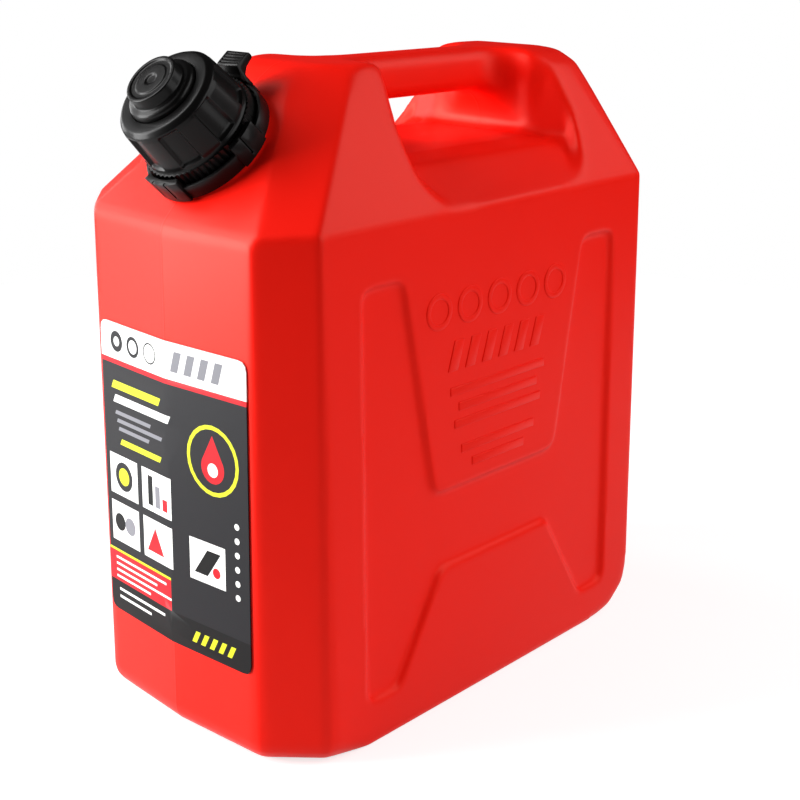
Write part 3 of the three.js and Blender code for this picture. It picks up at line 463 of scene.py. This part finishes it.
# %% Helper that turns an outline
def turned(profile, steps):
    """An outline of [radius, height] in mm, spun once round the neck's own axis and closed."""
    shape = bmesh.new()
    corners = [shape.verts.new((r * MM, 0, h * MM)) for r, h in profile]
    edges = [shape.edges.new((a, b)) for a, b in zip(corners, corners[1:])]
    starts_off_axis = profile[0][0] > 0
    if starts_off_axis:
        edges.append(shape.edges.new((corners[-1], corners[0])))
    bmesh.ops.spin(
        shape, geom=corners + edges, cent=(0, 0, 0), axis=(0, 0, 1), angle=math.tau, steps=steps,
        use_merge=True)
    bmesh.ops.remove_doubles(shape, verts=shape.verts, dist=0.001 * MM)
    bmesh.ops.recalc_face_normals(shape, faces=shape.faces)
    return shape


# %% The neck, its seat, the bore and the thread
neck_radius = 20.5
neck_steps = 96
seat_foot, seat_top = -10, -0.3
thread_pitch = 6
thread_turns = 2.2
thread_steps_per_turn = 48
thread_outline = [(20.2, 5.2), (21.8, 6.0), (21.8, 6.6), (20.2, 7.4)]

neck_shape = turned([
    (0, seat_foot), (28.6, seat_foot), (29.2, -0.9), (28.6, seat_top), (neck_radius, seat_top),
    (neck_radius, 21.6), (19.9, neck_rim), (0, neck_rim)], neck_steps)
bore_shape = turned([(0, -12), (neck_bore, -12), (neck_bore, 30), (0, 30)], neck_steps)

thread = bmesh.new()
thread_corners = [thread.verts.new((r * MM, 0, h * MM)) for r, h in thread_outline]
thread_end = thread.faces.new(thread_corners)
bmesh.ops.spin(
    thread, geom=[thread_end, *thread_end.edges, *thread_corners], cent=(0, 0, 0), axis=(0, 0, 1),
    dvec=(0, 0, thread_pitch * MM / thread_steps_per_turn), angle=math.tau * thread_turns,
    steps=math.ceil(thread_turns * thread_steps_per_turn))
bmesh.ops.recalc_face_normals(thread, faces=thread.faces)

for shape in (neck_shape, thread, bore_shape):
    bmesh.ops.transform(shape, matrix=neck, verts=shape.verts)
print("faces of the neck", len(neck_shape.faces), "of the thread", len(thread.faces))

# %% Join the neck to the skin and cut out the bore and the hollow
cuts = [
    (neck_shape, "neck", "UNION"), (thread, "thread", "UNION"),
    (bore_shape, "bore", "DIFFERENCE"), (hollow, "hollow", "DIFFERENCE")]
cutters = []
for shape, name, operation in cuts:
    cutter = make_object(shape, name)
    cutters.append(cutter)
    cut = shell.modifiers.new(name, "BOOLEAN")
    cut.operation = operation
    cut.object = cutter
    cut.solver = "MANIFOLD"
apply_modifiers(shell)
for cutter in cutters:
    bpy.data.objects.remove(cutter)
finish_piece(shell, red_polyethylene, "tank", ["tank_body"], angle=40)

# %% [markdown]
# ## Raised marks on the sides
# The mould of such a tank is engraved on its long sides, and the marks stand out in the
# plastic. Here they are plain shapes only: rings, slanted bars and lines of uneven
# length. A bump in the material would look flat from the side, so they are geometry. Each
# is an outline of four-cornered cells that follows the slope of the wall and starts a
# little inside it. All are raised in one step and bevelled.

# %% Outlines of the marks, in mm along the side and up
def disc(across, up, radius, corners=24):
    """The corners of a regular outline round a point."""
    turns = [math.tau * i / corners for i in range(corners)]
    return [(across + radius * math.cos(turn), up + radius * math.sin(turn)) for turn in turns]


def ring_cells(y, z, outer, inner, corners=28):
    """A flat ring as a row of four-cornered cells."""
    outer_ring = disc(y, z, outer, corners)
    inner_ring = disc(y, z, inner, corners)
    cells = []
    for here in range(corners):
        following = (here + 1) % corners
        cells.append([outer_ring[here], outer_ring[following], inner_ring[following], inner_ring[here]])
    return cells


def bar_cell(y, z, length, height, lean=0):
    return [[(y, z), (y + length, z), (y + length + lean, z + height), (y + lean, z + height)]]


ring_height, ring_spacing = 206, 22
slant_height, slant_spacing = 175, 12.4
line_lengths_by_height = {162.5: 72, 154: 60, 145.5: 66, 132: 56, 123.5: 40}

marks = [ring_cells(ring_spacing * i, ring_height, 9, 6.2) for i in range(-2, 3)]
marks += [bar_cell(-38 + slant_spacing * i, slant_height, 7, 15, lean=5) for i in range(6)]
marks += [bar_cell(-length / 2, height, length, 4.4) for height, length in line_lengths_by_height.items()]
print("marks on a side:", len(marks))

# %% Raise the marks on both sides
foot_half_width, belt_half_width, belt_height = 82.4, 79.2, 252.5
wall_lean = (foot_half_width - belt_half_width) / belt_height
panel_middle = 1.5
mark_root = 0.5
mark_thickness = 0.95


def round_edges(piece, width, above_angle):
    """A narrow bevel, its width in mm, on edges that are sharper than an angle."""
    bevel = piece.modifiers.new("moulded_edge", "BEVEL")
    bevel.width = width * MM
    bevel.segments = 2
    bevel.limit_method = "ANGLE"
    bevel.angle_limit = math.radians(above_angle)
    apply_modifiers(piece)


raised = bmesh.new()
for side in (1, -1):
    for cells in marks:
        corners = {}
        for cell in cells:
            points = []
            for y, z in cell:
                key = (round(y, 4), round(z, 4))
                if key not in corners:
                    wall_x = foot_half_width - z * wall_lean
                    spot = Vector((side * (wall_x - mark_root), y + panel_middle, z))
                    corners[key] = raised.verts.new(spot * MM)
                points.append(corners[key])
            raised.faces.new(points if side > 0 else points[::-1])
top = bmesh.ops.extrude_face_region(raised, geom=raised.faces[:])
for item in top["geom"]:
    if isinstance(item, bmesh.types.BMVert):
        item.co.x += math.copysign(mark_thickness * MM, item.co.x)
bmesh.ops.recalc_face_normals(raised, faces=raised.faces)
side_marks = make_object(raised, "side_marks")
round_edges(side_marks, 0.35, above_angle=40)
finish_piece(side_marks, red_polyethylene, "tank", [], angle=60)

# %% [markdown]
# ## The screw collar
# The collar is one turned profile with ratchet teeth round its foot, shallow pockets that
# leave eight grips between them, and a chamfer at the top. Cutting 60 teeth and 8 pockets
# by booleans would be slow and leave slivers. Instead the profile is spun in whole
# degrees, and the points of the foot and of the grip are moved in or out by their angle,
# as the slides of a mould would shape them.

# %% Profile of the screw collar
collar_bore, collar_foot = 22.4, 4.4
tooth_root = 27.7
grip_foot, grip_foot_radius, grip_taper = 14, 27.0, 0.092
row_height, row_count = 0.7, 29
lip_hole, lip_foot = 17.3, 32.8

foot_outline = [
    (collar_bore, collar_foot), (27.3, collar_foot), (tooth_root, 4.8), (tooth_root, 8.6),
    (tooth_root, 12.7), (27.4, 12.85), (27.1, 13.4)]
grip_heights = [grip_foot + i * row_height for i in range(row_count)]
grip_outline = [(grip_foot_radius - (height - grip_foot) * grip_taper, height) for height in grip_heights]
chamfer_outline = [
    (25.12, 34.0), (24.95, 34.4), (24.65, 34.75), (23.5, 35.95), (23.15, 36.25), (22.7, 36.43),
    (22.3, 36.5)]
lip_outline = [(17.8, 36.5), (17.5, 36.4), (lip_hole, 36.1), (lip_hole, lip_foot), (collar_bore, lip_foot)]
collar = turned(foot_outline + grip_outline + chamfer_outline + lip_outline, 360)
print("points of the collar:", len(collar.verts))

# %% Move the points of the teeth and the pockets
tooth_turn = 360 / 60
tooth_depth = 1.1
rising_share = 0.7
pocket_turn = 360 / 8
first_pocket = 40
pocket_depth = 1.5
ridge_rise = 0.2
outer_wall = 23


def tooth_move(turn):
    """How far a tooth stands out at an angle: it rises slowly and falls quickly, like a saw's."""
    share = (turn % tooth_turn) / tooth_turn
    return tooth_depth * (share / rising_share if share < rising_share else (1 - share) / (1 - rising_share))


def pocket_move(turn, height):
    """How far a pocket sinks at an angle and a height, and how far the grip beside it rises."""
    from_middle = abs((turn - first_pocket + pocket_turn / 2) % pocket_turn - pocket_turn / 2)
    between_ends = ease(height, 14.6, 15.8) * (1 - ease(height, 32.2, 33.4))
    sink = pocket_depth * (1 - ease(from_middle, 10.4, 11.6))
    rise = ridge_rise * ease(from_middle, 11.0, 12.4)
    return (rise - sink) * between_ends


for vert in collar.verts:
    turn = math.degrees(math.atan2(vert.co.x, -vert.co.y)) % 360
    height = vert.co.z / MM
    radius = math.hypot(vert.co.x, vert.co.y) / MM
    move = 0
    if 4.7 < height < 12.8 and radius > tooth_root - 0.1:
        move = tooth_move(turn)
    elif 14.2 < height < 33.7 and radius > outer_wall:
        move = pocket_move(turn, height)
    vert.co.x *= (radius + move) / radius
    vert.co.y *= (radius + move) / radius
bmesh.ops.transform(collar, matrix=neck, verts=collar.verts)
collar_ribbed = make_object(collar, "collar_ribbed")
finish_piece(collar_ribbed, black_polypropylene, "collar", ["screw_collar"], angle=28)

# %% [markdown]
# ## The stopper
# The stopper closes the neck and stands up through the collar's hole. It is a stack of
# steps with rounded shoulders, so it is turned as well. Its top has a raised rim, a
# groove inside it, a flat field and a dimple in the middle. Its corners could be
# bevelled, but they are rounded in the outline itself, which is lighter and gives each
# step its own radius.

# %% Stopper
def rounded(profile, steps=4):
    """Rounds each corner of an outline that has a third value: how far the round reaches, in mm."""
    outline = []
    for i, corner in enumerate(profile):
        here = Vector(corner[:2])
        if len(corner) < 3:
            outline.append(tuple(here))
            continue
        reach = corner[2]
        before = Vector(profile[i - 1][:2])
        after = Vector(profile[(i + 1) % len(profile)][:2])
        start = here + (before - here).normalized() * reach
        end = here + (after - here).normalized() * reach
        for step in range(steps + 1):
            f = step / steps
            outline.append(tuple(start * (1 - f) ** 2 + here * 2 * f * (1 - f) + end * f * f))
    return outline


skirt_and_flange = [(12.3, 24.0), (14.5, 24.0), (14.5, 30.0), (21.6, 30.0), (21.6, 32.5), (17.0, 32.5)]
shoulder = [(17.0, 39.4, 2.0), (13.2, 40.2, 0.8)]
rim_and_groove = [(12.9, 45.7, 0.8), (11.0, 45.7, 0.6), (10.6, 45.1, 0.4), (8.4, 45.1, 0.4)]
field_and_dimple = [(8.0, 45.5, 0.4), (3.2, 45.5, 0.6), (2.4, 44.9, 0.5), (0, 44.9)]
underside = [(0, 42.6), (10.7, 42.6), (10.7, 37.4), (12.3, 37.4)]

stopper_profile = skirt_and_flange + shoulder + rim_and_groove + field_and_dimple + underside
stopper = turned(rounded(stopper_profile), 128)
bmesh.ops.transform(stopper, matrix=neck, verts=stopper.verts)
stopper_cap = make_object(stopper, "stopper_cap")
finish_piece(stopper_cap, black_polypropylene, "stopper", ["stopper_plug"], angle=40)

# %% [markdown]
# ## The lock ring and the lever
# The ring is snapped on the foot of the neck, and the lever on it catches the collar's
# teeth. These two are angular mouldings that the solids already show in full, so nothing
# would be won by building them anew. What they lack is the small round that every moulded
# edge has, and that draws a thin line of light. So a copy of each gets a narrow bevel on
# its sharp edges.

# %% Lock ring and lever with moulded edges
def soften(name, made_name, body, width):
    """A black moulded copy of a solid, with its edges rounded by a width in mm."""
    shape = merged_copy(name)
    bmesh.ops.dissolve_limit(shape, angle_limit=math.radians(0.5), verts=shape.verts, edges=shape.edges)
    piece = make_object(shape, made_name)
    round_edges(piece, width, above_angle=32)
    finish_piece(piece, black_polypropylene, body, [name], angle=40)


soften("lock_ring", "lock_ring_moulded", "tank", 0.25)
soften("latch_lever", "lever_moulded", "latch", 0.3)

# %% [markdown]
# ## The spring in the spout
# The spring shuts the spout's sleeve. Its upper end rests on the tube and its lower end
# on the sleeve. The solid's coil is right as it is, so it is only copied.

# %% Spring copied from the solid
spring = make_object(merged_copy("nozzle_spring"), "spring_coil")
finish_piece(spring, drawn_steel, "tank", ["nozzle_spring"], angle=80)
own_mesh(spring)

# %% [markdown]
# ## The printed label
# The film on the front is printed and cut with round corners. A printed film is often
# made as an image, but a drawn one keeps every border perfectly sharp at any distance.
# The film's faces are cut by planes along the sides of each printed shape, and the faces
# that lie inside it get its ink. That works for outlines without inward corners, so the
# layout has only blocks, slanted bars, discs and triangles. A ring is a disc with a
# smaller disc on it, and a drop is a disc and a triangle.

# %% Inks
def printed(name, code):
    """Ink on a satin film, which is about as dull as the plastic round it."""
    return moulded(name, code, 0.42, 1.2, 0.01, specular=0.12)


ink_codes = {
    "ink_charcoal": "#1c1c1f", "ink_white": "#eeeeec", "ink_red": "#cc1a24",
    "ink_yellow": "#d3dc2c", "ink_black": "#09090a", "ink_grey": "#7c7c82"}
inks = {name: printed(name, code) for name, code in ink_codes.items()}
print("inks:", ", ".join(inks))

# %% [markdown]
# The layout is written in millimetres, across from the middle of the film and up from the
# floor. A later shape lies on an earlier one, and a band that crosses the whole film
# simply ends past its edges.

# %% Layout of the bands and of the upper half
past_edge = 60
head_foot, head_top = 179, 204
head_line = 188
head_ring_places = (-40, -26, -12)
drop_x, drop_ring_z = 31, 146


def block(x0, x1, z0, z1, lean=0):
    return [(x0, z0), (x1, z0), (x1 + lean, z1), (x0 + lean, z1)]


bands = [
    ("ink_white", block(-past_edge, past_edge, head_foot, head_top)),
    ("ink_red", block(-past_edge, past_edge, head_foot - 2.5, head_foot)),
    ("ink_black", block(-past_edge, past_edge, 40, 62)),
    ("ink_red", block(-past_edge, 0, 62, 78)),
    ("ink_yellow", block(-past_edge, 0, 78, 79.2))]
head_rings = [("ink_charcoal", disc(x, head_line, 5.2)) for x in head_ring_places]
head_rings += [("ink_white", disc(x, head_line, 2.4 + i)) for i, x in enumerate(head_ring_places)]
head_bars = [("ink_grey", block(4 + 9 * i, 9 + 9 * i, head_line - 5, head_line + 5, 3)) for i in range(4)]
drop_in_ring = [
    ("ink_yellow", disc(drop_x, drop_ring_z, 17)),
    ("ink_charcoal", disc(drop_x, drop_ring_z, 15)),
    ("ink_red", disc(drop_x, 142.5, 7.5)),
    ("ink_red", [(drop_x - 7.1, 145), (drop_x + 7.1, 145), (drop_x, 158)]),
    ("ink_white", disc(drop_x, 141.5, 3.4))]
slanted_sizes = [
    ("ink_yellow", 40, 164, 4), ("ink_white", 46, 157, 4), ("ink_grey", 30, 151, 2),
    ("ink_grey", 38, 147, 2), ("ink_grey", 26, 143, 2), ("ink_yellow", 34, 136, 3)]
slanted_lines = [
    (ink, block(-46 + 1.2 * i, -46 + 1.2 * i + length, z, z + tall, tall / 2))
    for i, (ink, length, z, tall) in enumerate(slanted_sizes)]
upper_half = bands + head_rings + head_bars + drop_in_ring + slanted_lines
print("printed shapes in the bands and the upper half:", len(upper_half))

# %% Layout of the lower half
square_width, square_height = 24, 21
square_places = ((-50, 109), (-22, 109), (14, 84), (-50, 84), (-22, 84))

squares = [("ink_white", block(x, x + square_width, z, z + square_height)) for x, z in square_places]
square_motifs = [
    ("ink_charcoal", disc(-38, 119.5, 7.5)), ("ink_yellow", disc(-38, 119.5, 4.5)),
    ("ink_black", block(-17, -13, 112, 127)), ("ink_grey", block(-11, -7, 112, 123)),
    ("ink_red", block(-5, -1, 112, 118)),
    ("ink_black", [(17, 88), (26, 88), (35, 101), (26, 101)]), ("ink_red", disc(32, 91, 2.6)),
    ("ink_black", disc(-43, 94.5, 4.6)), ("ink_grey", disc(-34, 94.5, 4.6)),
    ("ink_red", [(-19, 88), (-5, 88), (-12, 101)])]
dots = [("ink_white", disc(46, 118 - 7 * i, 1.6, 12)) for i in range(6)]
red_field_lines = [
    ("ink_white", block(-48, -48 + length, 74 - 3.4 * i, 75.2 - 3.4 * i))
    for i, length in enumerate((44, 36, 48, 30))]
foot_bars = [("ink_yellow", block(14 + 6 * i, 17 + 6 * i, 51, 57, 3)) for i in range(5)]
foot_lines = [
    ("ink_white", block(-46, -46 + length, 57 - 4 * i, 58.4 - 4 * i))
    for i, length in enumerate((40, 28))]
lower_half = squares + square_motifs + dots + red_field_lines + foot_bars + foot_lines
print("printed shapes in the lower half:", len(lower_half))

# %% Cut the film along each shape
fields = upper_half + lower_half
film = merged_copy("front_label")


def sides_of(outline):
    return list(zip(outline, outline[1:] + outline[:1]))


def film_near(outline):
    """The film's faces whose box meets an outline's box, with their edges and corners."""
    low_x, high_x = min(x for x, z in outline) * MM, max(x for x, z in outline) * MM
    low_z, high_z = min(z for x, z in outline) * MM, max(z for x, z in outline) * MM
    near = [
        face for face in film.faces
        if min(v.co.x for v in face.verts) < high_x and max(v.co.x for v in face.verts) > low_x
        and min(v.co.z for v in face.verts) < high_z and max(v.co.z for v in face.verts) > low_z]
    return list({item for face in near for item in (face, *face.edges, *face.verts)})


for ink, outline in fields:
    for (x0, z0), (x1, z1) in sides_of(outline):
        bmesh.ops.bisect_plane(
            film, geom=film_near(outline), dist=1e-7,
            plane_co=(x0 * MM, 0, z0 * MM), plane_no=(z1 - z0, 0, x0 - x1))
print("faces of the film:", len(film.faces))

# %% Ink the faces
label = make_object(film, "label_film")
for ink in inks.values():
    label.data.materials.append(ink)
ink_numbers = {name: number for number, name in enumerate(inks)}


def inside(x, z, outline):
    """Whether a point is on the inner hand of every side of an outline."""
    return all((x1 - x0) * (z - z0) - (z1 - z0) * (x - x0) >= 0 for (x0, z0), (x1, z1) in sides_of(outline))


for face in label.data.polygons:
    x, z = face.center.x / MM, face.center.z / MM
    for ink, outline in fields:
        if inside(x, z, outline):
            face.material_index = ink_numbers[ink]
finish_piece(label, None, "tank", ["front_label"], angle=20)

# %% [markdown]
# ## Floor and air
# The floor and the air round the tank are white, and the tank throws a faint shadow. If
# lamps alone made them white, they would bleach the tank too. So the floor is plain grey
# paper that glows only for rays that come from the camera or from a reflection, and the
# air is white for the camera and nearly dark for the tank.

# %% Floor
floor_radius = 0.9
floor_glow = 0.7

floor_shape = bmesh.new()
bmesh.ops.create_circle(floor_shape, cap_ends=True, segments=128, radius=floor_radius)
floor = make_object(floor_shape, "studio_floor")
paper, tree = new_material("white_paper")
rays = add_node(tree, "ShaderNodeLightPath")
seen = add_node(tree, "ShaderNodeMath", {
    0: rays.outputs["Is Camera Ray"], 1: rays.outputs["Is Glossy Ray"]},
    operation="ADD", use_clamp=True)
matt = add_node(tree, "ShaderNodeBsdfDiffuse", {"Color": srgb("#c4c4c4")})
glow = add_node(tree, "ShaderNodeEmission", {"Color": srgb("#ffffff"), "Strength": floor_glow})
lift = add_node(tree, "ShaderNodeMixShader", {"Fac": seen.outputs[0], 2: glow.outputs[0]})
both = add_node(tree, "ShaderNodeAddShader", {0: matt.outputs[0], 1: lift.outputs[0]})
add_node(tree, "ShaderNodeOutputMaterial", {"Surface": both.outputs[0]})
floor.data.materials.append(paper)
print("the floor is", 2 * floor_radius, "m wide")

# %% Air
air_light = 0.03

world = bpy.data.worlds.new("studio_air")
world.use_nodes = True
tree = world.node_tree
tree.nodes.clear()
rays = add_node(tree, "ShaderNodeLightPath")
seen = add_node(tree, "ShaderNodeMath", {
    0: rays.outputs["Is Camera Ray"], 1: rays.outputs["Is Transmission Ray"]},
    operation="ADD", use_clamp=True)
dim = add_node(tree, "ShaderNodeBackground", {"Color": srgb("#ffffff"), "Strength": air_light})
white = add_node(tree, "ShaderNodeBackground", {"Color": srgb("#ffffff"), "Strength": 1.0})
mix = add_node(tree, "ShaderNodeMixShader", {
    "Fac": seen.outputs[0], 1: dim.outputs[0], 2: white.outputs[0]})
add_node(tree, "ShaderNodeOutputWorld", {"Surface": mix.outputs[0]})
bpy.context.scene.world = world
print("the air lights the tank with a strength of", air_light)

# %% [markdown]
# ## Lamps
# A strong lamp close by would burn white spots into the satin plastic, so all lamps are
# wide and soft. Most of the light comes from the left of the front: two lamps high up, a
# low one that fills the front and its label, and a small one for the left edge. The
# corner between the front and the long side turns away from them and stays darker, which
# is what makes the body look solid. The long side has a lamp of its own on the right, and
# one behind it lights the slopes and the grip.

# %% Lamps
lamp_aim = Vector((0, 0, 0.16))


def lamp(name, azimuth, elevation, distance, size, watts):
    """A rectangle of light, its distance and size in metres, that faces the middle of the tank."""
    light = bpy.data.lights.new(name, "AREA")
    light.shape = "RECTANGLE"
    light.size, light.size_y = size
    light.energy = watts
    made = bpy.data.objects.new(name, light)
    made.location = lamp_aim + direction(azimuth, elevation) * distance
    made.rotation_euler = direction(azimuth, elevation).to_track_quat("Z", "Y").to_euler()
    bpy.context.scene.collection.objects.link(made)
    print(name, watts, "W")


lamp("key_left", -42, 40, 1.0, (0.4, 0.5), 6.0)
lamp("key_front", -30, 36, 1.0, (0.9, 0.9), 2.1)
lamp("low_front", -38, 8, 1.2, (0.6, 0.7), 24)
lamp("low_left", -80, 14, 1.0, (0.35, 0.5), 3.0)
lamp("fill_right", 105, 22, 1.4, (0.8, 1.2), 10.2)
lamp("back_right", 140, 40, 1.4, (0.8, 0.8), 6.0)

# %% [markdown]
# ## Finish
# Colours are shown plainly, without a film look.

# %% View settings
bpy.context.scene.view_settings.view_transform = "Standard"
